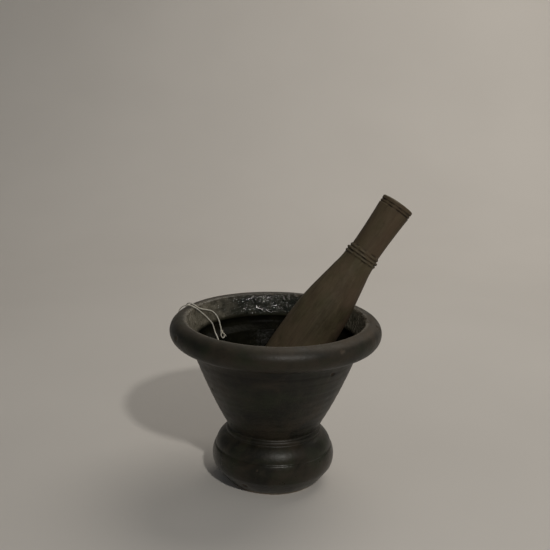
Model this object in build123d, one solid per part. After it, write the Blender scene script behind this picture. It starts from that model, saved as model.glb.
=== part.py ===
from build123d import *
import os
from math import atan, cos, pi, radians, sin, tan

# A stoneware mortar, thrown and glazed in one piece, with a turned wooden pestle leaning in it and a
# thin cotton tag string hung over its rim. Millimetres, +Z up, origin at the middle of the flat base.
# +X is the side that the pestle leans to, and +Y is the back.

# ---- mortar: driving dimensions -----------------------------------------------------------------
mortar_height = 130.0         # base to the top of the rim
rim_diameter = 161.0          # over the rolled rim
rim_roll_radius = 9.6         # the rolled edge is a half round of clay
base_radius = 35.8
foot_radius = 47.5            # the widest part of the round foot
foot_step_height = 28.6       # a turned line parts the foot's lower band from its upper one
neck_radius = 35.1
neck_height = 44.4
body_top_radius = 62.4        # where the cone meets the hollow under the rim
body_top_height = 103.6
body_bulge = 1.4              # how far the cone's outside swells beyond a straight line
wall = 8.0                    # at the top of the cone, measured level
bowl_neck_radius = 28.3       # of the bowl, at the height of the neck
throat_radius = 60.2          # the sharp inner edge at the bottom of the rim's slope
throat_height = 114.0
bowl_floor_height = 46.4
bowl_floor_radius = 10.0      # the nearly flat middle of the bowl's floor

# ---- pestle: driving dimensions -----------------------------------------------------------------
pestle_length = 197.0
grip_radius = 13.7            # at the grip's free end
grip_neck_radius = 12.15      # just above the turned collar
head_radius = 22.0
tip_radius = 20.6             # where the head starts to round over into its tip

# ---- pestle: how it leans in the bowl -----------------------------------------------------------
pestle_tilt = 35.0            # degrees from upright
pestle_bearing = 16.0         # degrees from +X towards +Y, the way that its top leans
pestle_cross = (37.75, 23.75)   # where its axis passes the level of the rim's top
pestle_above_rim = 101.0      # along its axis, from that level to its free end

# ---- tag string ---------------------------------------------------------------------------------
string_diameter = 1.0
knot_length = 2.0
knot_radius = 1.2
knot_loop_radius = 1.7        # to the middle of the thread that makes the loop
arc_share = 0.45              # each bend takes this share of the shorter run beside it

# The route, from the end in the bowl to the knot: (distance from the mortar's axis, bearing, height).
string_route = [
    (44.8, 146.0, 89.0),
    (49.2, 147.5, 97.5),
    (53.6, 147.0, 106.5),
    (57.6, 150.0, 115.5),
    (61.6, 156.5, 124.5),
    (65.9, 159.0, 132.6),
    (74.2, 158.0, 133.3),
    (81.8, 157.5, 128.8),
    (84.4, 158.5, 120.2),
    (84.7, 158.5, 111.0),
    (84.1, 155.5, 104.6),
    (83.9, 151.0, 102.6),
    (84.3, 147.5, 106.2),
    (84.7, 147.0, 114.0),
    (83.7, 148.0, 123.8),
    (79.3, 149.5, 131.6),
    (69.8, 151.5, 134.0),
    (62.5, 151.0, 129.2),
    (59.6, 145.5, 121.6),
    (56.4, 140.5, 114.4),
    (53.4, 138.0, 107.8),
]


def around(radius, bearing, height):
    """A point at a distance from the Z axis, on a bearing in degrees from +X towards +Y."""
    return Vector(radius * cos(radians(bearing)), radius * sin(radians(bearing)), height)


def dome(edge_radius, edge_height, rise):
    """The round from an edge to the Z axis, where it arrives level; a negative rise bulges downwards."""
    ball = (edge_radius**2 + rise**2) / (2 * abs(rise))
    side = 1 if rise > 0 else -1
    half = atan(edge_radius / (ball - abs(rise))) / 2
    centre = edge_height + rise - side * ball
    middle = (ball * sin(half), centre + side * ball * cos(half))
    return ThreePointArc((edge_radius, edge_height), middle, (0, edge_height + rise))


def turned(outline):
    """A solid of revolution about Z from the edges of a closed half section in the XZ plane."""
    return revolve(Plane.XZ * make_face(outline), axis=Axis.Z)


# ---- mortar -------------------------------------------------------------------------------------

def mortar_outside():
    """Edges from the middle of the base, over the foot and body, to the inner side of the rolled rim."""
    lean = (body_top_radius - neck_radius) / (body_top_height - neck_height)
    upright = atan(lean)
    body_middle = (
        (neck_radius + body_top_radius) / 2 + body_bulge * cos(upright),
        (neck_height + body_top_height) / 2 - body_bulge * sin(upright),
    )
    roll_r = rim_diameter / 2 - rim_roll_radius
    roll_z = mortar_height - rim_roll_radius
    under = radians(-97)
    inner = radians(105)
    roll_start = (roll_r + rim_roll_radius * cos(under), roll_z + rim_roll_radius * sin(under))
    roll_end = (roll_r + rim_roll_radius * cos(inner), roll_z + rim_roll_radius * sin(inner))
    edges = [
        Line((0, 0), (base_radius - 1.2, 0)),
        Line((base_radius - 1.2, 0), (base_radius, 1.2)),
        ThreePointArc((base_radius, 1.2), (base_radius + 5.8, 7.4), (foot_radius - 1.6, 13.2)),
        ThreePointArc(
            (foot_radius - 1.6, 13.2), (foot_radius, 20.0), (foot_radius - 1.9, foot_step_height)
        ),
        Line((foot_radius - 1.9, foot_step_height), (foot_radius - 2.5, foot_step_height + 0.4)),
        ThreePointArc(
            (foot_radius - 2.5, foot_step_height + 0.4),
            (foot_radius - 5.3, foot_step_height + 7.1),
            (neck_radius + 1.6, neck_height - 4.0),
        ),
        ThreePointArc(
            (neck_radius + 1.6, neck_height - 4.0),
            (neck_radius + 1.9, neck_height - 2.2),
            (neck_radius + 0.4, neck_height - 0.6),
        ),
        Line((neck_radius + 0.4, neck_height - 0.6), (neck_radius, neck_height)),
        ThreePointArc((neck_radius, neck_height), body_middle, (body_top_radius, body_top_height)),
        ThreePointArc(
            (body_top_radius, body_top_height),
            (body_top_radius + 4.0 * lean + 0.9, body_top_height + 4.4),
            roll_start,
        ),
        ThreePointArc(roll_start, (roll_r + rim_roll_radius, roll_z), roll_end),
    ]
    return edges, roll_end


def mortar_inside(roll_end):
    """Edges from the rolled rim, down the slope to the throat and the bowl, to the bowl's middle."""
    lean = (body_top_radius - wall - bowl_neck_radius) / (body_top_height - neck_height)
    step = (roll_end[0] - 1.1, roll_end[1] - 0.8)
    above = (throat_radius + 0.3, throat_height + 1.0)
    below = (throat_radius + 0.5, throat_height - 2.2)
    ledge = (throat_radius - 1.6, throat_height - 7.6)
    cone_top = (body_top_radius - wall - 0.5 * lean, body_top_height - 0.5)
    # The cove at the bottom is a round that touches both the cone's inner side and the floor.
    inner_at_floor = bowl_neck_radius + lean * (bowl_floor_height - neck_height)
    turn = pi / 2 - atan(lean)
    cove = (inner_at_floor - bowl_floor_radius) / tan(turn / 2)
    side = (
        bowl_floor_radius + cove * sin(turn),
        bowl_floor_height + cove * (1 - cos(turn)),
    )
    middle = (
        bowl_floor_radius + cove * sin(turn / 2),
        bowl_floor_height + cove * (1 - cos(turn / 2)),
    )
    return [
        Line(roll_end, step),
        Line(step, above),
        ThreePointArc(above, (throat_radius, throat_height), below),
        ThreePointArc(below, (throat_radius + 0.4, throat_height - 5.0), ledge),
        Line(ledge, cone_top),
        Line(cone_top, side),
        ThreePointArc(side, middle, (bowl_floor_radius, bowl_floor_height)),
        Line((bowl_floor_radius, bowl_floor_height), (0, bowl_floor_height)),
        Line((0, bowl_floor_height), (0, 0)),
    ]


def make_mortar():
    outside, roll_end = mortar_outside()
    return turned(outside + mortar_inside(roll_end))


# ---- pestle -------------------------------------------------------------------------------------

def pestle_outline():
    """The half section, with the tip at the origin and the grip's free end at the top."""
    top = pestle_length

    def down(distance, radius):
        return (radius, top - distance)

    edges = [
        dome(grip_radius - 0.9, top - 0.9, 0.9),
        Line(down(0.9, grip_radius - 0.9), down(1.8, grip_radius)),
    ]
    # Two turned lines near the free end.
    last = down(1.8, grip_radius)
    for centre in (4.6, 6.9):
        for point in (
            down(centre - 0.5, grip_radius - 0.1),
            down(centre, grip_radius - 0.7),
            down(centre + 0.5, grip_radius - 0.1),
        ):
            edges.append(Line(last, point))
            last = point
    edges += [
        ThreePointArc(last, down(20.0, 12.8), down(45.5, grip_neck_radius)),
        # The collar: a small bead, a wide ring and a narrow ring, with a turned line between each.
        ThreePointArc(
            down(45.5, grip_neck_radius), down(46.9, 13.0), down(48.5, grip_neck_radius + 0.2)
        ),
        ThreePointArc(down(48.5, grip_neck_radius + 0.2), down(50.0, 14.1), down(51.3, 13.0)),
        ThreePointArc(down(51.3, 13.0), down(52.7, 13.9), down(53.9, 13.2)),
        # The flare into the head, and the rounded tip.
        ThreePointArc(down(53.9, 13.2), down(59.9, 13.7), down(65.9, 14.8)),
        Line(down(65.9, 14.8), down(90.6, 19.2)),
        ThreePointArc(down(90.6, 19.2), down(107.0, 21.2), down(126.0, head_radius - 0.2)),
        ThreePointArc(
            down(126.0, head_radius - 0.2), down(146.0, head_radius), down(175.0, tip_radius)
        ),
        ThreePointArc(down(175.0, tip_radius), down(188.6, 17.0), down(195.1, 9.0)),
        dome(9.0, top - 195.1, 195.1 - top),
        Line(down(top, 0), down(0, 0)),
    ]
    return edges


def pestle_place():
    """Where the tip goes, and the turn that leans the upright pestle over."""
    tilt = radians(pestle_tilt)
    lean = Vector(
        sin(tilt) * cos(radians(pestle_bearing)), sin(tilt) * sin(radians(pestle_bearing)), cos(tilt)
    )
    crossing = Vector(pestle_cross[0], pestle_cross[1], mortar_height)
    tip = crossing + lean * (pestle_above_rim - pestle_length)
    return Plane(origin=tip, z_dir=lean).location


def make_pestle():
    return pestle_place() * turned(pestle_outline())


# ---- tag string ---------------------------------------------------------------------------------

def string_points():
    return [around(*point) for point in string_route]


def string_radii(points):
    """One bend radius for each corner of the route."""
    radii = []
    for before, corner, after in zip(points, points[1:], points[2:]):
        first = corner - before
        second = after - corner
        half_turn = radians(first.get_angle(second)) / 2
        radii.append(arc_share * min(first.length, second.length) / tan(half_turn))
    return radii


def make_string():
    points = string_points()
    radii = string_radii(points)
    path = FilletPolyline(*points, radius=radii)
    section = Plane(origin=path @ 0, z_dir=path % 0) * Circle(string_diameter / 2)
    tube = sweep(section, path=path)
    expected = pi * (string_diameter / 2) ** 2 * path.length
    print("string bend radii", [round(radius, 1) for radius in radii])
    print("string length", round(path.length, 1), "volume", round(tube.volume, 2), "of", round(expected, 2))
    return tube


def make_knot():
    """A barrel knot at the string's end, with the small loop that its tail makes."""
    points = string_points()
    along = (points[-1] - points[-2]).normalized()
    level = along.cross(Vector(0, 0, 1)).normalized()
    barrel = extrude(Plane(origin=points[-1], z_dir=along) * Circle(knot_radius), amount=knot_length)
    loop_middle = points[-1] + along * (knot_length + knot_loop_radius)
    loop_plane = Plane(origin=loop_middle, z_dir=along.cross(level))
    return barrel + loop_plane.location * Torus(knot_loop_radius, string_diameter / 2)


# ---- write every piece --------------------------------------------------------------------------

os.makedirs("parts", exist_ok=True)
pieces = {
    "mortar": make_mortar(),
    "pestle": make_pestle(),
    "tag_string": make_string(),
    "tag_string_knot": make_knot(),
}
for name, piece in pieces.items():
    export_step(piece, f"parts/{name}.step")
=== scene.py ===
from math import atan, atan2, ceil, cos, exp, hypot, pi, radians, sin, sqrt, tan

import bpy
from mathutils import Euler, Matrix, Vector, noise


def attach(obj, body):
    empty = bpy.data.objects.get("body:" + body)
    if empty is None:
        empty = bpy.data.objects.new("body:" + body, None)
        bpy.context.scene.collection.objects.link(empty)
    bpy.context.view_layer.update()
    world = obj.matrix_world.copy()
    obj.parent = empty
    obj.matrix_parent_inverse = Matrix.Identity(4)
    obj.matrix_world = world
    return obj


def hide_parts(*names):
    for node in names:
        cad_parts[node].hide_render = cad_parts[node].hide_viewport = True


# A salt-glazed stoneware mortar, a turned wooden pestle that leans in it and a cotton tag string.
# Outlines and routes are in millimetres, as in the part's source; meshes are made in metres.

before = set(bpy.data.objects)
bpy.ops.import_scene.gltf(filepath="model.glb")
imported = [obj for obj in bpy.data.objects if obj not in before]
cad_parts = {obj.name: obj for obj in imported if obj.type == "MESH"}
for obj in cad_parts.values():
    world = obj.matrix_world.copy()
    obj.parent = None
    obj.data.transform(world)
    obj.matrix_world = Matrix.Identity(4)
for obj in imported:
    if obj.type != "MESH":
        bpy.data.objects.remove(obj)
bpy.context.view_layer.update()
scene = bpy.context.scene
MM = 0.001


# ---- camera and colour --------------------------------------------------------------------------

CAMERA_PLACE = (-1.5, -719.5, 349.9)
CAMERA_DOWN = 14.58           # degrees below level, looking along +Y
CAMERA_ROLL = 1.30            # degrees
CAMERA_LENS = 65.03           # on the default 36 mm sensor


def make_camera():
    camera = bpy.data.objects.new("camera", bpy.data.cameras.new("camera"))
    camera.data.lens = CAMERA_LENS
    camera.data.clip_start = 0.01
    camera.data.clip_end = 20.0
    down = Matrix.Rotation(radians(90 - CAMERA_DOWN), 4, "X")
    roll = Matrix.Rotation(radians(CAMERA_ROLL), 4, "Z")
    camera.matrix_world = Matrix.Translation(Vector(CAMERA_PLACE) * MM) @ (down @ roll)
    scene.collection.objects.link(camera)
    scene.camera = camera


make_camera()
scene.view_settings.view_transform = "Standard"


# ---- building tools -----------------------------------------------------------------------------

def add_mesh(name, points, faces):
    """A mesh object from points in millimetres, in the row frame."""
    mesh = bpy.data.meshes.new(name)
    mesh.from_pydata([Vector(point) * MM for point in points], [], faces)
    mesh.polygons.foreach_set("use_smooth", [True] * len(mesh.polygons))
    mesh.update()
    made = bpy.data.objects.new(name, mesh)
    scene.collection.objects.link(made)
    return made


def add_attribute(made, name, values):
    """A number for each point of a mesh, which a material can read."""
    layer = made.data.attributes.new(name, "FLOAT", "POINT")
    layer.data.foreach_set("value", values)


def straight(start, end, step):
    """Points on a straight stretch of an outline, about one step apart, without its end."""
    count = max(1, ceil(hypot(end[0] - start[0], end[1] - start[1]) / step))
    return [
        (start[0] + (end[0] - start[0]) * i / count, start[1] + (end[1] - start[1]) * i / count)
        for i in range(count)
    ]


def arc(start, middle, end, step):
    """Points on the round through three points, about one step apart, without its end."""
    ax, ay = start
    bx, by = middle
    cx, cy = end
    twice = 2 * (ax * (by - cy) + bx * (cy - ay) + cx * (ay - by))
    a2, b2, c2 = ax * ax + ay * ay, bx * bx + by * by, cx * cx + cy * cy
    ox = (a2 * (by - cy) + b2 * (cy - ay) + c2 * (ay - by)) / twice
    oy = (a2 * (cx - bx) + b2 * (ax - cx) + c2 * (bx - ax)) / twice
    radius = hypot(ax - ox, ay - oy)
    first = atan2(ay - oy, ax - ox)
    to_middle = (atan2(by - oy, bx - ox) - first) % (2 * pi)
    to_end = (atan2(cy - oy, cx - ox) - first) % (2 * pi)
    sweep = to_end if to_middle < to_end else to_end - 2 * pi
    count = max(2, ceil(abs(sweep) * radius / step))
    return [
        (ox + radius * cos(first + sweep * i / count), oy + radius * sin(first + sweep * i / count))
        for i in range(count)
    ]


def outline_normals(outline):
    """The unit normal at each point of an outline that runs anticlockwise round its material."""
    normals = []
    for i, point in enumerate(outline):
        before = outline[max(0, i - 1)]
        after = outline[min(len(outline) - 1, i + 1)]
        along = (after[0] - before[0], after[1] - before[1])
        size = hypot(*along)
        normals.append((along[1] / size, -along[0] / size))
    return normals


def turned_points(outline, turns, sink):
    """Rings of points round the Z axis. sink(angle, radius, height, normal) is how far each goes in."""
    normals = outline_normals(outline)
    rings = []
    for (radius, height), normal in zip(outline, normals):
        if radius < 1e-6:
            deep = sink(0.0, 0.0, height, normal)
            rings.append([(0.0, 0.0, height - normal[1] * deep)])
            continue
        ring = []
        for k in range(turns):
            angle = 2 * pi * k / turns
            deep = sink(angle, radius, height, normal)
            out = radius - normal[0] * deep
            ring.append((out * cos(angle), out * sin(angle), height - normal[1] * deep))
        rings.append(ring)
    return rings


def ring_faces(rings):
    """Quads between neighbouring rings, and triangles to a ring of one point."""
    starts = [0]
    for ring in rings:
        starts.append(starts[-1] + len(ring))
    faces = []
    for i, (lower, upper) in enumerate(zip(rings, rings[1:])):
        a, b = starts[i], starts[i + 1]
        count = max(len(lower), len(upper))
        for k in range(count):
            n = (k + 1) % count
            if len(lower) == 1:
                faces.append((a, b + n, b + k))
            elif len(upper) == 1:
                faces.append((a + k, a + n, b))
            else:
                faces.append((a + k, a + n, b + n, b + k))
    return faces


def smooth_step(low, high, value):
    share = min(1.0, max(0.0, (value - low) / (high - low)))
    return share * share * (3 - 2 * share)


def hump(distance, width):
    """1 at the middle, falling smoothly to nothing a few widths away."""
    return exp(-((distance / width) ** 2))


def turn_between(angle, bearing):
    """How far an angle in radians is from a bearing in degrees, in radians either way."""
    return (angle - radians(bearing) + pi) % (2 * pi) - pi


# ---- mortar -------------------------------------------------------------------------------------

MORTAR_HEIGHT = 130.0
RIM_RADIUS = 80.5
ROLL_RADIUS = 9.6
ROLL_UNDER = -97              # where the roll starts and ends, in degrees above level outwards
ROLL_INNER = 105
BASE_RADIUS = 35.8
FOOT_RADIUS = 47.5
FOOT_STEP = 28.6
BASE_BEVEL = 1.2
NECK_RADIUS = 35.1
NECK_HEIGHT = 44.4
BODY_TOP_RADIUS = 62.4
BODY_TOP_HEIGHT = 103.6
BODY_BULGE = 1.4
WALL = 8.0
BOWL_NECK_RADIUS = 28.3
THROAT_RADIUS = 60.2
THROAT_HEIGHT = 114.0
BOWL_FLOOR = 46.4
BOWL_FLOOR_RADIUS = 10.0
MORTAR_TURNS = 280
GLAZE_INSET = 0.12            # keeps every bump of the glaze inside the plain form
RUBBED_AND_LIT_BEARING = -15          # the side of the rim where hands have rubbed the glaze most, and where the crest is painted paler as light falling from the right
GLAZE_POOL_BEARING = 92       # the side of the rim's inner slope where the glaze ran thick and dark

# Turned lines round the body: (height, depth, half width, bearing of the deepest part, share all round).
BODY_LINES = [
    (101.6, 0.30, 0.9, -80, 0.35),
    (95.2, 0.16, 0.7, -62, 0.10),
    (92.6, 0.14, 0.6, -66, 0.10),
    (84.8, 0.12, 0.7, -60, 0.15),
    (71.0, 0.10, 0.9, -110, 0.30),
    (52.5, 0.12, 0.8, -95, 0.30),
]

# Chips, pits and knocks: (bearing, radius, height, size, depth).
MORTAR_FLAWS = [
    (-9.5, 76.6, 128.0, 1.3, 1.5),
    (-8.5, 78.4, 126.2, 1.3, 1.6),
    (-7.5, 79.8, 123.6, 1.2, 1.5),
    (-11.5, 78.6, 125.6, 1.6, 0.5),
    (-6, 69.6, 129.6, 1.9, 0.6),
    # The pit at bearing 3 is also painted light: its pale chipped colour stands in for light falling on
    # the right of the inner slope.
    (3, 67.6, 128.6, 1.6, 0.9),
    (14, 67.8, 128.8, 1.2, 0.9),
    (-53.5, 79.0, 125.4, 1.6, 0.8),
    (-47, 61.5, 101.2, 1.7, 1.0),
    (-150, 52.5, 81.0, 1.6, 0.5),
    (93, 68.0, 129.6, 2.0, 0.6),
    (75, 68.0, 129.6, 2.4, 0.6),
    (-104, 46.6, 24.6, 1.1, 0.6),
    (-66, 76.4, 113.4, 1.8, 0.5),
    (128, 79.4, 117.2, 2.2, 0.9),
    (205, 79.6, 122.0, 2.4, 0.8),
    (240, 41.5, 7.4, 2.6, 0.8),
    (75, 45.0, 12.0, 2.2, 0.7),
]


def mortar_outline():
    """From the middle of the base, over the foot, the body and the rim, to the middle of the bowl."""
    lean = (BODY_TOP_RADIUS - NECK_RADIUS) / (BODY_TOP_HEIGHT - NECK_HEIGHT)
    roll_r = RIM_RADIUS - ROLL_RADIUS
    roll_z = MORTAR_HEIGHT - ROLL_RADIUS
    roll_start, roll_end = [
        (roll_r + ROLL_RADIUS * cos(radians(turn)), roll_z + ROLL_RADIUS * sin(radians(turn)))
        for turn in (ROLL_UNDER, ROLL_INNER)
    ]
    foot_low = (FOOT_RADIUS - 1.6, 13.2)
    foot_top = (FOOT_RADIUS - 1.9, FOOT_STEP)
    foot_line = (FOOT_RADIUS - 2.5, FOOT_STEP + 0.4)
    bead_low = (NECK_RADIUS + 1.6, NECK_HEIGHT - 4.0)
    bead_top = (NECK_RADIUS + 0.4, NECK_HEIGHT - 0.6)
    neck = (NECK_RADIUS, NECK_HEIGHT)
    body_top = (BODY_TOP_RADIUS, BODY_TOP_HEIGHT)
    body_middle = (
        (NECK_RADIUS + BODY_TOP_RADIUS) / 2 + BODY_BULGE * cos(atan(lean)),
        (NECK_HEIGHT + BODY_TOP_HEIGHT) / 2 - BODY_BULGE * sin(atan(lean)),
    )
    step = (roll_end[0] - 1.1, roll_end[1] - 0.8)
    above = (THROAT_RADIUS + 0.3, THROAT_HEIGHT + 1.0)
    below = (THROAT_RADIUS + 0.5, THROAT_HEIGHT - 2.2)
    ledge = (THROAT_RADIUS - 1.6, THROAT_HEIGHT - 7.6)
    inner_lean = (BODY_TOP_RADIUS - WALL - BOWL_NECK_RADIUS) / (BODY_TOP_HEIGHT - NECK_HEIGHT)
    cone_top = (BODY_TOP_RADIUS - WALL - 0.5 * inner_lean, BODY_TOP_HEIGHT - 0.5)
    turn = pi / 2 - atan(inner_lean)
    inner_at_floor = BOWL_NECK_RADIUS + inner_lean * (BOWL_FLOOR - NECK_HEIGHT)
    cove = (inner_at_floor - BOWL_FLOOR_RADIUS) / tan(turn / 2)
    side = (BOWL_FLOOR_RADIUS + cove * sin(turn), BOWL_FLOOR + cove * (1 - cos(turn)))
    cove_middle = (BOWL_FLOOR_RADIUS + cove * sin(turn / 2), BOWL_FLOOR + cove * (1 - cos(turn / 2)))
    floor_edge = (BOWL_FLOOR_RADIUS, BOWL_FLOOR)
    base_edge = (BASE_RADIUS - BASE_BEVEL, 0)
    base_side = (BASE_RADIUS, BASE_BEVEL)
    points = straight((0, 0), base_edge, 3.5)
    points += straight(base_edge, base_side, 0.5)
    points += arc(base_side, (BASE_RADIUS + 5.8, 7.4), foot_low, 0.95)
    points += arc(foot_low, (FOOT_RADIUS, 20.0), foot_top, 0.9)
    points += straight(foot_top, foot_line, 0.35)
    points += arc(foot_line, (FOOT_RADIUS - 5.3, FOOT_STEP + 7.1), bead_low, 0.8)
    points += arc(bead_low, (NECK_RADIUS + 1.9, NECK_HEIGHT - 2.2), bead_top, 0.45)
    points += straight(bead_top, neck, 0.35)
    points += arc(neck, body_middle, body_top, 0.72)
    points += arc(body_top, (BODY_TOP_RADIUS + 4.0 * lean + 0.9, BODY_TOP_HEIGHT + 4.4), roll_start, 0.7)
    points += arc(roll_start, (RIM_RADIUS, roll_z), roll_end, 0.85)
    points += straight(roll_end, step, 0.35)
    points += straight(step, above, 0.75)
    points += arc(above, (THROAT_RADIUS, THROAT_HEIGHT), below, 0.4)
    points += arc(below, (THROAT_RADIUS + 0.4, THROAT_HEIGHT - 5.0), ledge, 0.6)
    points += straight(ledge, cone_top, 0.7)
    points += straight(cone_top, side, 1.1)
    points += arc(side, cove_middle, floor_edge, 1.5)
    points += straight(floor_edge, (0, BOWL_FLOOR), 3.4)
    return points + [(0, BOWL_FLOOR)]


def flaws_depth(flaws, angle, radius, height):
    """How deep the listed chips and knocks are at one point of a turned surface."""
    deep = 0.0
    for bearing, at_radius, at_height, size, depth in flaws:
        aside = turn_between(angle, bearing) * radius
        away = sqrt(aside * aside + (radius - at_radius) ** 2 + (height - at_height) ** 2)
        if away < 2.5 * size:
            ragged = 1 + 0.35 * noise.noise(Vector((aside, height, bearing)) * 0.9)
            deep = max(deep, depth * (1 - smooth_step(0.35, 1.25, away / size * ragged)))
    return deep


def mortar_sink(angle, radius, height, normal):
    """The hand-thrown unevenness, the turned lines and the chips, as a depth below the plain form."""
    x, y = radius * cos(angle), radius * sin(angle)
    place = Vector((x, y, height))
    deep = GLAZE_INSET
    deep += 0.10 * (1 + noise.noise(Vector((cos(angle), sin(angle), height / 60)) * 1.7))
    deep += 0.07 * (1 + noise.noise(place / 8.5))
    deep += 0.035 * (1 + noise.noise(place / 3.6 + Vector((7, 3, 1))))
    outer = normal[0] > 0.3 and NECK_HEIGHT < height < BODY_TOP_HEIGHT + 4
    if outer:
        # Shallow ridges that the thrower's fingers left, climbing a little on each turn.
        climb = height - 3.0 * angle / pi
        deep += 0.055 * (1 + sin(2 * pi * climb / 6.4 + 1.3 * noise.noise(place / 20)))
    if outer or radius > 30 and height < FOOT_STEP + 2:
        for line_height, depth, half, bearing, everywhere in BODY_LINES:
            share = everywhere + (1 - everywhere) * hump(turn_between(angle, bearing), 0.45)
            deep += depth * share * hump(height - line_height, half)
    inside = normal[0] < -0.3
    if inside and height > THROAT_HEIGHT:
        deep += 0.05 * (1 + noise.noise(place / 2.4))
    if inside and height < BODY_TOP_HEIGHT:
        deep += 0.08 * (1 + sin(2 * pi * (height + 2.4 * angle / pi) / 4.8))
    if height < 0.5 and radius < BASE_RADIUS - 3:
        deep += 0.12 * (1 + sin(radius * 1.9 + 0.4 * sin(angle)))
    return deep + flaws_depth(MORTAR_FLAWS, angle, radius, height)


def mortar_wear(point, outline_point):
    """How far the glaze is rubbed or broken at one point, from 0 to 1, raised towards the right of the
    crest as painted light.
    """
    angle = atan2(point[1], point[0])
    crest = smooth_step(MORTAR_HEIGHT - 5.0, MORTAR_HEIGHT - 0.4, outline_point[1])
    patchy = min(1.0, 0.65 + 0.6 * noise.noise(Vector(point) / 7.0))
    deep = flaws_depth(MORTAR_FLAWS, angle, *outline_point)
    chipped = smooth_step(0.12, 0.5, deep) * (1 - smooth_step(0.9, 1.3, deep))
    # Painted light: the crest is paler towards the right, standing in for light falling on that side, as
    # well as rubbing.
    rubbed_and_lit_side = 0.45 + 0.55 * hump(turn_between(angle, RUBBED_AND_LIT_BEARING), 0.9)
    return max(crest * patchy * rubbed_and_lit_side, chipped)


def make_mortar():
    outline = mortar_outline()
    normals = outline_normals(outline)
    rings = turned_points(outline, MORTAR_TURNS, mortar_sink)
    points = [point for ring in rings for point in ring]
    made = add_mesh("mortar_glazed", points, ring_faces(rings))
    values = {"wear": [], "bare": [], "slope": [], "thin": []}
    for ring, outline_point, normal in zip(rings, outline, normals):
        radius, height = outline_point
        inside = 1.0 if normal[0] < 0.3 and height > 40 else 0.0
        above = smooth_step(THROAT_HEIGHT - 0.5, THROAT_HEIGHT + 2.5, height)
        for point in ring:
            rag = noise.noise(Vector(point) / 5.0)
            angle = atan2(point[1], point[0])
            values["wear"].append(mortar_wear(point, outline_point))
            values["bare"].append(1 - smooth_step(0.9, 1.9, height + 0.6 * rag))
            values["slope"].append(inside * above * smooth_step(71.5, 67.5, radius + 0.8 * rag))
            # Away from the back the inner slope turns pale: thin glaze, and painted light standing in
            # for light and reflections on the slope's sides.
            pooled = abs(turn_between(angle, GLAZE_POOL_BEARING)) + 0.25 * rag
            values["thin"].append(smooth_step(0.35, 1.05, pooled))
    for name, numbers in values.items():
        add_attribute(made, name, numbers)
    return made


# ---- pestle -------------------------------------------------------------------------------------

PESTLE_LENGTH = 197.0
GRIP_RADIUS = 13.7
GRIP_NECK_RADIUS = 12.15
HEAD_RADIUS = 22.0
TIP_RADIUS = 20.6
PESTLE_TILT = 35.0
PESTLE_BEARING = 16.0
PESTLE_CROSS = (37.75, 23.75)
PESTLE_ABOVE_RIM = 101.0
PESTLE_TURNS = 176
WOOD_INSET = 0.06
GRIP_LINES = (4.6, 6.9)       # turned lines near the free end, by their distance from it

# The collar's outline, groove and crest in turn: (distance from the free end, radius).
COLLAR = [
    (45.5, GRIP_NECK_RADIUS),
    (46.9, 13.0),
    (48.5, GRIP_NECK_RADIUS + 0.2),
    (50.0, 14.1),
    (51.3, 13.0),
    (52.7, 13.9),
    (53.9, 13.2),
]
PESTLE_GROOVES = [*GRIP_LINES, *(distance for distance, radius in COLLAR[::2])]
PESTLE_RIDGES = [1.4, *(distance for distance, radius in COLLAR[1::2])]

# Dents and pits in the wood: (bearing about its own axis, distance from the free end, size, depth).
PESTLE_DENTS = [
    (-118, 22.0, 1.6, 0.35),
    (-96, 15.5, 1.1, 0.30),
    (-70, 33.0, 1.8, 0.25),
    (-140, 47.5, 1.4, 0.50),
    (-35, 51.5, 1.6, 0.60),
    (-100, 74.0, 1.8, 0.20),
    (-60, 88.0, 1.5, 0.18),
    (-128, 101.0, 1.9, 0.25),
    (-84, 106.0, 1.1, 0.40),
    (-72, 109.5, 1.0, 0.40),
    (-108, 113.0, 1.2, 0.40),
    (-92, 118.0, 1.0, 0.35),
    (-50, 112.0, 1.4, 0.25),
    (60, 64.0, 2.6, 0.45),
    (110, 98.0, 2.8, 0.40),
    (165, 80.0, 2.2, 0.35),
    (20, 130.0, 3.0, 0.50),
    (-160, 140.0, 2.6, 0.45),
    (90, 158.0, 3.2, 0.50),
    (-70, 165.0, 3.0, 0.50),
]


def pestle_matrix():
    """From the pestle's own frame, tip at the origin and grip upwards, to where it leans."""
    tilt, bearing = radians(PESTLE_TILT), radians(PESTLE_BEARING)
    lean = Vector((sin(tilt) * cos(bearing), sin(tilt) * sin(bearing), cos(tilt)))
    crossing = Vector((PESTLE_CROSS[0], PESTLE_CROSS[1], MORTAR_HEIGHT))
    tip = crossing + lean * (PESTLE_ABOVE_RIM - PESTLE_LENGTH)
    turn = Euler((0, tilt, bearing), "XYZ").to_matrix().to_4x4()
    return Matrix.Translation(tip) @ turn


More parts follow.
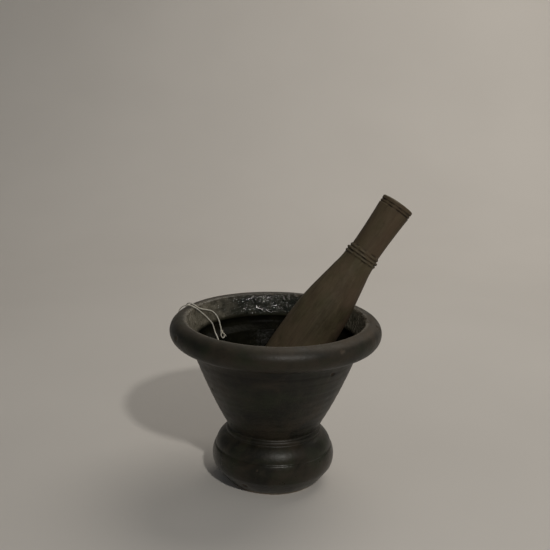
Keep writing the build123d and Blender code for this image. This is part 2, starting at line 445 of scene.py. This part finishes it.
def pestle_outline():
    """From the middle of the tip to the middle of the free end, in the pestle's own frame."""
    def down(distance, radius):
        return (radius, PESTLE_LENGTH - distance)

    def dome(edge_distance, edge_radius, end_distance, step):
        """The round from an edge to the axis, where it arrives level."""
        rise = abs(end_distance - edge_distance)
        ball = (edge_radius**2 + rise**2) / (2 * rise)
        side = 1 if end_distance > edge_distance else -1
        half = atan(edge_radius / (ball - rise)) / 2
        middle = down(end_distance - side * ball * (1 - cos(half)), ball * sin(half))
        return arc(down(edge_distance, edge_radius), middle, down(end_distance, 0), step)

    points = dome(0.9, GRIP_RADIUS - 0.9, 0.0, 0.9)[::-1]
    points = [down(0, 0)] + points
    points += straight(down(0.9, GRIP_RADIUS - 0.9), down(1.8, GRIP_RADIUS), 0.3)[1:]
    last = down(1.8, GRIP_RADIUS)
    for centre in GRIP_LINES:
        for distance, depth in ((centre - 0.5, 0.1), (centre, 0.7), (centre + 0.5, 0.1)):
            corner = down(distance, GRIP_RADIUS - depth)
            points += straight(last, corner, 0.28)
            last = corner
    points += arc(last, down(20.0, 12.8), down(*COLLAR[0]), 0.8)
    for groove, crest, following in zip(COLLAR[::2], COLLAR[1::2], COLLAR[2::2]):
        points += arc(down(*groove), down(*crest), down(*following), 0.3)
    points += arc(down(*COLLAR[-1]), down(59.9, 13.7), down(65.9, 14.8), 0.75)
    points += straight(down(65.9, 14.8), down(90.6, 19.2), 0.75)
    points += arc(down(90.6, 19.2), down(107.0, 21.2), down(126.0, HEAD_RADIUS - 0.2), 0.75)
    points += arc(down(126.0, HEAD_RADIUS - 0.2), down(146.0, HEAD_RADIUS), down(175.0, TIP_RADIUS), 1.1)
    points += arc(down(175.0, TIP_RADIUS), down(188.6, 17.0), down(195.1, 9.0), 1.0)
    points += dome(195.1, 9.0, PESTLE_LENGTH, 1.0)
    return (points + [(0, 0)])[::-1]


def pestle_sink(angle, radius, height, normal):
    """The wood's shrinkage, its raised grain, its dents and the worn edges of its turned rings."""
    x, y = radius * cos(angle), radius * sin(angle)
    distance = PESTLE_LENGTH - height
    deep = WOOD_INSET
    deep += 0.10 * (1 + cos(2 * angle + 0.7)) * min(1.0, radius / 10)
    deep += 0.05 * (1 + noise.noise(Vector((x / 7, y / 7, height / 30))))
    deep += 0.05 * (1 + noise.noise(Vector((x / 1.1, y / 1.1, height / 22))))
    if normal[1] > 0.8 and distance < 3:
        # The end grain stands up in rings and has split from the middle in a few places.
        deep += 0.05 * (1 + sin(hypot(x - 3.5, y + 2.0) * 3.6))
        for bearing, reach in ((35, 9.5), (158, 7.0), (262, 8.5)):
            across = abs(turn_between(angle, bearing)) * radius
            deep += 0.5 * hump(across, 0.35) * (1 - smooth_step(reach - 3, reach, radius))
    if COLLAR[0][0] - 0.5 < distance < COLLAR[-1][0] + 0.5:
        worn = noise.noise(Vector((cos(angle) * 2.2, sin(angle) * 2.2, distance / 3)))
        deep += 0.35 * smooth_step(0.1, 0.6, worn) * smooth_step(12.2, 13.2, radius)
    if distance < 3.2:
        deep += 0.3 * smooth_step(0.15, 0.6, noise.noise(Vector((cos(angle) * 3, sin(angle) * 3, 4))))
    for bearing, at_distance, size, depth in PESTLE_DENTS:
        along = distance - at_distance
        if abs(along) < 3 * size:
            across = turn_between(angle, bearing) * radius
            away = hypot(along * 0.7, across * 1.3) / size
            deep += depth * (1 - smooth_step(0.3, 1.2, away))
    return deep


def make_pestle():
    outline = pestle_outline()
    rings = turned_points(outline, PESTLE_TURNS, pestle_sink)
    place = pestle_matrix()
    points = [place @ Vector(point) for ring in rings for point in ring]
    made = add_mesh("pestle_turned", points, ring_faces(rings))
    dirt, rubbed = [], []
    for ring, (radius, height) in zip(rings, outline):
        distance = PESTLE_LENGTH - height
        for point in ring:
            patchy = smooth_step(-0.35, 0.35, noise.noise(Vector(point) / 4.0))
            dirt.append(patchy * max(hump(distance - line, 0.6) for line in PESTLE_GROOVES))
            rubbed.append(patchy * max(hump(distance - line, 0.7) for line in PESTLE_RIDGES))
    add_attribute(made, "dirt", dirt)
    add_attribute(made, "rubbed", rubbed)
    return made


# ---- tag string ---------------------------------------------------------------------------------

STRING_DIAMETER = 1.0
STRING_PITCH = 2.6            # one turn of its three plies
KNOT_THREAD = 0.86            # pulled thin
KNOT_TURNS = 2.6              # how often the knot goes round the thread
WRAP_STEPS = 60
LOOP_STEPS = 48
TAIL_STEPS = 24

# The route, from the end in the bowl to the knot: (distance from the mortar's axis, bearing, height).
STRING_ROUTE = [
    (47.2, 147.5, 89.0),
    (50.5, 148.6, 96.3),
    (53.2, 148.6, 102.7),
    (57.2, 146.8, 106.4),
    (59.6, 145.6, 109.8),
    (59.5, 148.0, 114.4),
    (61.9, 152.0, 120.0),
    (64.0, 156.2, 124.6),
    (66.0, 160.4, 129.0),
    (70.0, 162.4, 131.5),
    (76.1, 161.5, 130.4),
    (80.6, 160.6, 126.1),
    (81.9, 160.2, 119.6),
    (81.7, 160.0, 112.0),
    (81.4, 158.4, 105.4),
    (81.4, 155.2, 102.8),
    (81.5, 152.4, 105.6),
    (81.8, 151.2, 112.2),
    (82.0, 151.4, 119.8),
    (80.6, 152.8, 126.3),
    (76.2, 155.6, 130.6),
    (70.0, 158.8, 131.6),
    (66.1, 158.4, 129.2),
    (65.1, 154.6, 126.6),
    (63.9, 149.0, 124.6),
    (62.9, 143.6, 122.4),
    (61.2, 140.4, 118.2),
    (59.5, 139.4, 113.8),
    (59.3, 138.6, 110.4),
    (56.4, 139.8, 105.8),
]


def string_line():
    """Points in millimetres read from the smooth line that the route's points control."""
    curve = bpy.data.curves.new("string_line", "CURVE")
    curve.dimensions = "3D"
    curve.resolution_u = 32
    spline = curve.splines.new("NURBS")
    spline.points.add(len(STRING_ROUTE) - 1)
    for control, (radius, bearing, height) in zip(spline.points, STRING_ROUTE):
        angle = radians(bearing)
        control.co = (radius * cos(angle) * MM, radius * sin(angle) * MM, height * MM, 1.0)
    spline.order_u = 3
    spline.use_endpoint_u = True
    holder = bpy.data.objects.new("string_line", curve)
    line = bpy.data.meshes.new_from_object(holder)
    points = [vertex.co / MM for vertex in line.vertices]
    bpy.data.objects.remove(holder)
    bpy.data.meshes.remove(line)
    return points


def twisted_rings(points, thickness, sides=15, ends=0.35):
    """Rings of a three-ply thread round a line: its section has three lobes, which turn as it goes."""
    rings = []
    across = None
    run = 0.0
    whole = sum((b - a).length for a, b in zip(points, points[1:]))
    for i, point in enumerate(points):
        along = (points[min(i + 1, len(points) - 1)] - points[max(i - 1, 0)]).normalized()
        if across is None:
            across = along.orthogonal().normalized()
        else:
            across = (across - along * across.dot(along)).normalized()
            run += (point - points[i - 1]).length
        up = along.cross(across)
        turn = 2 * pi * run / STRING_PITCH
        end = min(run, whole - run)
        taper = sqrt(max(0.04, 1 - (1 - min(1.0, end / ends)) ** 2))
        uneven = 1 + 0.07 * noise.noise(point * 0.8)
        ring = []
        for k in range(sides):
            angle = 2 * pi * k / sides
            lobe = 0.82 + 0.18 * abs(cos(1.5 * (angle - turn)))
            out = thickness / 2 * lobe * taper * uneven
            ring.append(point + across * (out * cos(angle)) + up * (out * sin(angle)))
        rings.append(ring)
    return rings


def tube_faces(rings, start=0):
    """Faces of a tube through equal rings, with its two ends closed."""
    sides = len(rings[0])
    faces = []
    for i in range(len(rings) - 1):
        a, b = start + i * sides, start + (i + 1) * sides
        for k in range(sides):
            n = (k + 1) % sides
            faces.append((a + k, a + n, b + n, b + k))
    faces.append(tuple(start + k for k in reversed(range(sides))))
    faces.append(tuple(start + (len(rings) - 1) * sides + k for k in range(sides)))
    return faces


def make_string(line):
    rings = twisted_rings(line, STRING_DIAMETER)
    return add_mesh("tag_string_twisted", [point for ring in rings for point in ring], tube_faces(rings))


def make_knot(line):
    """The knot at the string's lower end: wraps round the thread, a small loop and a cut tail."""
    end = line[-1]
    along = (line[-1] - line[-6]).normalized()
    level = along.cross(Vector((0, 0, 1))).normalized()
    out = level.cross(along)

    def place(a, b, c):
        """A point from the string's end: a along it, b level across it, c away from the wall."""
        return end + along * a + level * b + out * c

    wraps = []
    for i in range(WRAP_STEPS + 1):
        share = i / WRAP_STEPS
        turn = 2 * pi * KNOT_TURNS * share
        wraps.append(place(-0.6 + 2.3 * share, 0.78 * cos(turn), 0.78 * sin(turn)))
    loop = []
    for i in range(LOOP_STEPS + 1):
        turn = 2 * pi * i / LOOP_STEPS
        swell = 1.35 * sin(turn)
        loop.append(place(1.3 + 2.1 * (1 - cos(turn)), swell, 0.25 * sin(turn) + 0.15))
    tail = []
    for i in range(TAIL_STEPS + 1):
        share = i / TAIL_STEPS
        tail.append(place(1.2 + 3.4 * share, -0.5 - 2.1 * share**1.4, 0.45 + 0.9 * sin(pi * share)))
    points, faces = [], []
    for strand in (wraps, loop, tail):
        rings = twisted_rings(strand, KNOT_THREAD, sides=12, ends=0.3)
        faces += tube_faces(rings, start=len(points))
        points += [point for ring in rings for point in ring]
    return add_mesh("tag_string_knot_tied", points, faces)


# ---- materials ----------------------------------------------------------------------------------

def new_material(name, **shader):
    """A material whose Principled shader has the given constant inputs."""
    made = bpy.data.materials.new(name)
    made.use_nodes = True
    tree = made.node_tree
    principled = tree.nodes["Principled BSDF"]
    for socket, value in shader.items():
        principled.inputs[socket.replace("_", " ")].default_value = value
    return made, tree, principled


def node(tree, kind, inputs=None, **settings):
    """Adds a node. inputs gives its sockets constants, or links them to other nodes' outputs."""
    made = tree.nodes.new("ShaderNode" + kind)
    for name, value in settings.items():
        setattr(made, name, value)
    for socket, value in (inputs or {}).items():
        if isinstance(value, bpy.types.NodeSocket):
            tree.links.new(value, made.inputs[socket])
        else:
            made.inputs[socket].default_value = value
    return made


def noise_value(tree, vector, scale, detail=3.0, roughness=0.55, distortion=0.0):
    """A noise texture's value, about 0.5."""
    inputs = {"Vector": vector, "Scale": scale, "Detail": detail, "Roughness": roughness}
    inputs["Distortion"] = distortion
    return node(tree, "TexNoise", inputs).outputs["Fac"]


def stretched(tree, vector, scale):
    """Coordinates scaled by a different amount along each axis."""
    return node(tree, "Mapping", {"Vector": vector, "Scale": scale}).outputs["Vector"]


def between(tree, value, low, high, to_low=0.0, to_high=1.0):
    """A value mapped from one range to another, and kept within it."""
    inputs = {"Value": value, "From Min": low, "From Max": high, "To Min": to_low, "To Max": to_high}
    return node(tree, "MapRange", inputs).outputs["Result"]


def maths(tree, operation, first, second=0.0):
    return node(tree, "Math", {0: first, 1: second}, operation=operation).outputs["Value"]


def mixed(tree, factor, first, second):
    """One colour mixed into another."""
    made = tree.nodes.new("ShaderNodeMix")
    made.data_type = "RGBA"
    for socket, value in (("Factor", factor), ("A", first), ("B", second)):
        target = next(s for s in made.inputs if s.name == socket and s.enabled)
        if isinstance(value, bpy.types.NodeSocket):
            tree.links.new(value, target)
        elif isinstance(value, tuple):
            target.default_value = (*value, 1.0)
        else:
            target.default_value = value
    return next(s for s in made.outputs if s.enabled)


def bumped(tree, height, distance, normal=None):
    """A normal tilted by a height in its own units, distance metres for each unit."""
    inputs = {"Height": height, "Distance": distance, "Strength": 1.0}
    if normal is not None:
        inputs["Normal"] = normal
    return node(tree, "Bump", inputs).outputs["Normal"]


def attribute(tree, name):
    return node(tree, "Attribute", attribute_name=name).outputs["Fac"]


def glaze_material():
    """Dark salt glaze: dull and mottled outside, pebbled above the throat, and pale on the slope's sides
    there, as thin glaze and as painted light.
    """
    made, tree, shader = new_material("dark_salt_glaze", IOR=1.5, Specular_IOR_Level=0.34)
    place = node(tree, "TexCoord").outputs["Object"]
    height = node(tree, "SeparateXYZ", {"Vector": place}).outputs["Z"]
    foot = between(tree, height, 0.034, 0.028)
    patches = noise_value(tree, place, 34, 5, 0.62, 0.5)
    moss = noise_value(tree, place, 48, 3, 0.6, 0.6)
    drips = noise_value(tree, stretched(tree, place, (90, 90, 22)), 1.0, 3)
    specks = noise_value(tree, place, 900, 2, 0.6)
    cloud = noise_value(tree, place, 140, 4, 0.65)
    wear = attribute(tree, "wear")
    bare = attribute(tree, "bare")
    slope = attribute(tree, "slope")
    thin = attribute(tree, "thin")
    patched = between(tree, patches, 0.43, 0.58)
    colour = mixed(tree, patched, (0.0075, 0.0070, 0.0036), (0.026, 0.0200, 0.0120))
    colour = mixed(tree, between(tree, moss, 0.50, 0.66, 0, 0.7), colour, (0.015, 0.0185, 0.0072))
    colour = mixed(tree, between(tree, drips, 0.52, 0.72, 0, 0.6), colour, (0.022, 0.021, 0.0115))
    colour = mixed(tree, between(tree, cloud, 0.55, 0.75, 0, 0.4), colour, (0.036, 0.027, 0.018))
    colour = mixed(tree, between(tree, specks, 0.60, 0.70, 0, 0.6), colour, (0.007, 0.006, 0.004))
    # Painted light: the pale colour on the slope's sides stands in for light and reflections falling
    # there, as well as thin glaze.
    pale = mixed(tree, between(tree, cloud, 0.36, 0.64), (0.074, 0.067, 0.048), (0.165, 0.149, 0.114))
    pooled = mixed(tree, between(tree, cloud, 0.40, 0.60), (0.009, 0.0105, 0.007), (0.026, 0.026, 0.018))
    colour = mixed(tree, slope, colour, mixed(tree, thin, pooled, pale))
    # Pale brown where the glaze is worn or chipped, and on the right of the crest as painted light.
    colour = mixed(tree, maths(tree, "MULTIPLY", wear, 0.8), colour, (0.074, 0.057, 0.039))
    colour = mixed(tree, bare, colour, (0.24, 0.19, 0.135))
    tree.links.new(colour, shader.inputs["Base Color"])
    rough = between(tree, cloud, 0.3, 0.7, 0.40, 0.52)
    rough = maths(tree, "SUBTRACT", rough, maths(tree, "MULTIPLY", foot, 0.14))
    rough = maths(tree, "SUBTRACT", rough, maths(tree, "MULTIPLY", slope, 0.38))
    rough = maths(tree, "ADD", rough, maths(tree, "MULTIPLY", maths(tree, "MAXIMUM", wear, bare), 0.3))
    tree.links.new(rough, shader.inputs["Roughness"])
    peel = noise_value(tree, place, 460, 2, 0.5)
    peel = maths(tree, "MULTIPLY", peel, between(tree, slope, 0, 1, 0.12, 1.0))
    pores = noise_value(tree, place, 1500, 2, 0.5)
    normal = bumped(tree, peel, 0.0012)
    normal = bumped(tree, pores, 0.00003, normal)
    tree.links.new(normal, shader.inputs["Normal"])
    return made


def bowl_material():
    """The bowl below the throat: near-black and dull, with pale crumbs in its pits."""
    made, tree, shader = new_material("blackened_bowl", IOR=1.45, Specular_IOR_Level=0.03)
    place = node(tree, "TexCoord").outputs["Object"]
    cloud = noise_value(tree, place, 90, 4, 0.6)
    crumbs = noise_value(tree, place, 620, 3, 0.6)
    clouded = between(tree, cloud, 0.38, 0.64)
    colour = mixed(tree, clouded, (0.0035, 0.0034, 0.0020), (0.0080, 0.0078, 0.0048))
    colour = mixed(tree, between(tree, crumbs, 0.62, 0.74, 0, 0.6), colour, (0.034, 0.026, 0.017))
    tree.links.new(colour, shader.inputs["Base Color"])
    tree.links.new(between(tree, cloud, 0.3, 0.7, 0.42, 0.26), shader.inputs["Roughness"])
    peel = noise_value(tree, place, 420, 2, 0.5)
    tree.links.new(bumped(tree, peel, 0.0004), shader.inputs["Normal"])
    return made


def wood_material():
    """Old turned wood, dry and grey-brown, with long grain, scratches and a little red in places."""
    made, tree, shader = new_material("old_turned_wood", IOR=1.45, Specular_IOR_Level=0.14)
    place = node(tree, "TexCoord").outputs["Object"]
    matrix = pestle_matrix()
    own = node(
        tree,
        "Mapping",
        {"Vector": place, "Location": matrix.to_translation() * MM, "Rotation": matrix.to_euler()},
        vector_type="TEXTURE",
    ).outputs["Vector"]
    side = node(tree, "SeparateXYZ", {"Vector": own}).outputs["X"]
    broad = noise_value(tree, stretched(tree, own, (75, 75, 24)), 1.0, 3, 0.6, 0.8)
    grain = noise_value(tree, stretched(tree, own, (520, 520, 48)), 1.0, 4, 0.6, 0.4)
    fibre = noise_value(tree, stretched(tree, own, (1900, 1900, 150)), 1.0, 2, 0.6)
    blotch = noise_value(tree, own, 48, 4, 0.62, 0.5)
    flush = noise_value(tree, own, 30, 3, 0.6)
    paler = between(tree, broad, 0.36, 0.66)
    colour = mixed(tree, paler, (0.052, 0.0405, 0.0225), (0.094, 0.0755, 0.0435))
    colour = mixed(tree, between(tree, grain, 0.44, 0.68, 0, 0.4), colour, (0.112, 0.091, 0.055))
    colour = mixed(tree, between(tree, fibre, 0.56, 0.72, 0, 0.4), colour, (0.036, 0.026, 0.015))
    colour = mixed(tree, between(tree, blotch, 0.52, 0.66, 0, 0.55), colour, (0.066, 0.058, 0.029))
    flush_side = between(tree, side, -0.004, 0.016, 0.3, 0.8)
    flushed = maths(tree, "MULTIPLY", between(tree, flush, 0.42, 0.58), flush_side)
    colour = mixed(tree, flushed, colour, (0.108, 0.069, 0.048))
    rubbed = maths(tree, "MULTIPLY", attribute(tree, "rubbed"), 0.7)
    colour = mixed(tree, rubbed, colour, (0.150, 0.128, 0.090))
    # Darker along the turned grooves.
    dirt = maths(tree, "MULTIPLY", attribute(tree, "dirt"), 0.8)
    colour = mixed(tree, dirt, colour, (0.012, 0.009, 0.006))
    tree.links.new(colour, shader.inputs["Base Color"])
    tree.links.new(between(tree, grain, 0.3, 0.7, 0.68, 0.56), shader.inputs["Roughness"])
    scratches = noise_value(tree, stretched(tree, own, (260, 700, 420)), 1.0, 3, 0.7, 1.2)
    normal = bumped(tree, grain, 0.00022)
    normal = bumped(tree, fibre, 0.00010, normal)
    normal = bumped(tree, between(tree, scratches, 0.60, 0.68), 0.00010, normal)
    tree.links.new(normal, shader.inputs["Normal"])
    return made


def cotton_material():
    """Unbleached cotton thread, a little soiled."""
    constants = {"Roughness": 0.9, "Sheen_Weight": 0.25, "Sheen_Roughness": 0.4}
    made, tree, shader = new_material("cotton_thread", **constants)
    place = node(tree, "TexCoord").outputs["Object"]
    soil = noise_value(tree, place, 160, 3, 0.6)
    fuzz = noise_value(tree, place, 5200, 2, 0.6)
    colour = mixed(tree, between(tree, soil, 0.40, 0.68), (0.66, 0.63, 0.55), (0.48, 0.44, 0.35))
    colour = mixed(tree, between(tree, fuzz, 0.50, 0.70, 0, 0.35), colour, (0.36, 0.33, 0.27))
    tree.links.new(colour, shader.inputs["Base Color"])
    tree.links.new(bumped(tree, fuzz, 0.00006), shader.inputs["Normal"])
    return made


def paper_material():
    """The pale floor and backdrop."""
    made, tree, shader = new_material("pale_paper", Roughness=0.85, Specular_IOR_Level=0.2)
    place = node(tree, "TexCoord").outputs["Object"]
    tone = noise_value(tree, place, 3.0, 3, 0.5)
    colour = mixed(tree, between(tree, tone, 0.3, 0.7), (0.60, 0.572, 0.535), (0.64, 0.611, 0.572))
    tree.links.new(colour, shader.inputs["Base Color"])
    return made


def finish_piece(made, material, body, slot, *nodes):
    made.data.materials.append(material)
    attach(made, body)
    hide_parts(*nodes)


def blacken_bowl(made):
    """Gives the faces inside the bowl, below the throat, the blackened material."""
    made.data.materials.append(bowl_material())
    for face in made.data.polygons:
        middle = face.center / MM
        near_axis = hypot(middle.x, middle.y) < THROAT_RADIUS + 1.0
        below_throat = BOWL_FLOOR - 1.0 < middle.z < THROAT_HEIGHT - 0.8
        turned_in = face.normal.dot(Vector((middle.x, middle.y, -40.0))) < 0
        if near_axis and below_throat and turned_in:
            face.material_index = 1


# ---- the object ---------------------------------------------------------------------------------

glaze = glaze_material()
wood = wood_material()
cotton = cotton_material()

line = string_line()
string = make_string(line)
knot = make_knot(line)
finish_piece(string, cotton, "mortar", "cotton_string", "tag_string")
finish_piece(knot, cotton, "mortar", "cotton_string", "tag_string_knot")

mortar = make_mortar()
finish_piece(mortar, glaze, "mortar", "glazed_stoneware", "mortar")
blacken_bowl(mortar)
finish_piece(make_pestle(), wood, "pestle", "worn_wood", "pestle")


# ---- stage and light ----------------------------------------------------------------------------

STAGE_HALF_WIDTH = 4000.0
STAGE_FRONT = -5000.0
STAGE_BEND = 650.0            # where the floor starts to curve up
STAGE_BEND_RADIUS = 900.0
STAGE_TOP = 2600.0
STAGE_BEND_STEPS = 24

# Each lamp: where it is, what it faces, its power, its size, its spread in degrees and its colour.
LAMPS = {
    "key": ((0.40, -1.24, 1.12), (0.10, 0.45, 0.0), 4.2, 0.10, 120, (1.0, 0.97, 0.92)),
    "overhead": ((0.55, 0.75, 1.35), (0.50, 0.70, 0.0), 9.0, 1.25, 180, (1.0, 0.94, 0.86)),
    "right": ((1.60, -0.20, 0.60), (0.0, 0.0, 0.10), 1.2, 1.40, 180, (1.0, 0.93, 0.84)),
}
ROOM_COLOUR = (0.90, 0.95, 1.0)
ROOM_STRENGTH = 0.11


def make_stage():
    """A seamless sweep of pale paper: floor, bend and back wall in one sheet."""
    outline = [(STAGE_FRONT, 0.0)]
    for i in range(STAGE_BEND_STEPS + 1):
        turn = pi / 2 * i / STAGE_BEND_STEPS
        out = STAGE_BEND + STAGE_BEND_RADIUS * sin(turn)
        outline.append((out, STAGE_BEND_RADIUS * (1 - cos(turn))))
    outline.append((outline[-1][0], STAGE_TOP))
    points = [(side * STAGE_HALF_WIDTH, y, z) for y, z in outline for side in (-1, 1)]
    faces = [(2 * i, 2 * i + 1, 2 * i + 3, 2 * i + 2) for i in range(len(outline) - 1)]
    made = add_mesh("paper_sweep", points, faces)
    made.data.materials.append(paper_material())


def add_lamp(name, place, aim, watts, size, spread, colour):
    lamp = bpy.data.lights.new(name, "AREA")
    lamp.energy = watts
    lamp.shape = "DISK"
    lamp.size = size
    lamp.spread = radians(spread)
    lamp.color = colour
    holder = bpy.data.objects.new(name, lamp)
    facing = (Vector(aim) - Vector(place)).to_track_quat("-Z", "Y").to_matrix().to_4x4()
    holder.matrix_world = Matrix.Translation(Vector(place)) @ facing
    scene.collection.objects.link(holder)


def make_lights():
    for name, facts in LAMPS.items():
        add_lamp(name, *facts)
    world = bpy.data.worlds.new("room")
    world.use_nodes = True
    background = world.node_tree.nodes["Background"]
    background.inputs["Color"].default_value = (*ROOM_COLOUR, 1.0)
    background.inputs["Strength"].default_value = ROOM_STRENGTH
    scene.world = world


make_stage()
make_lights()
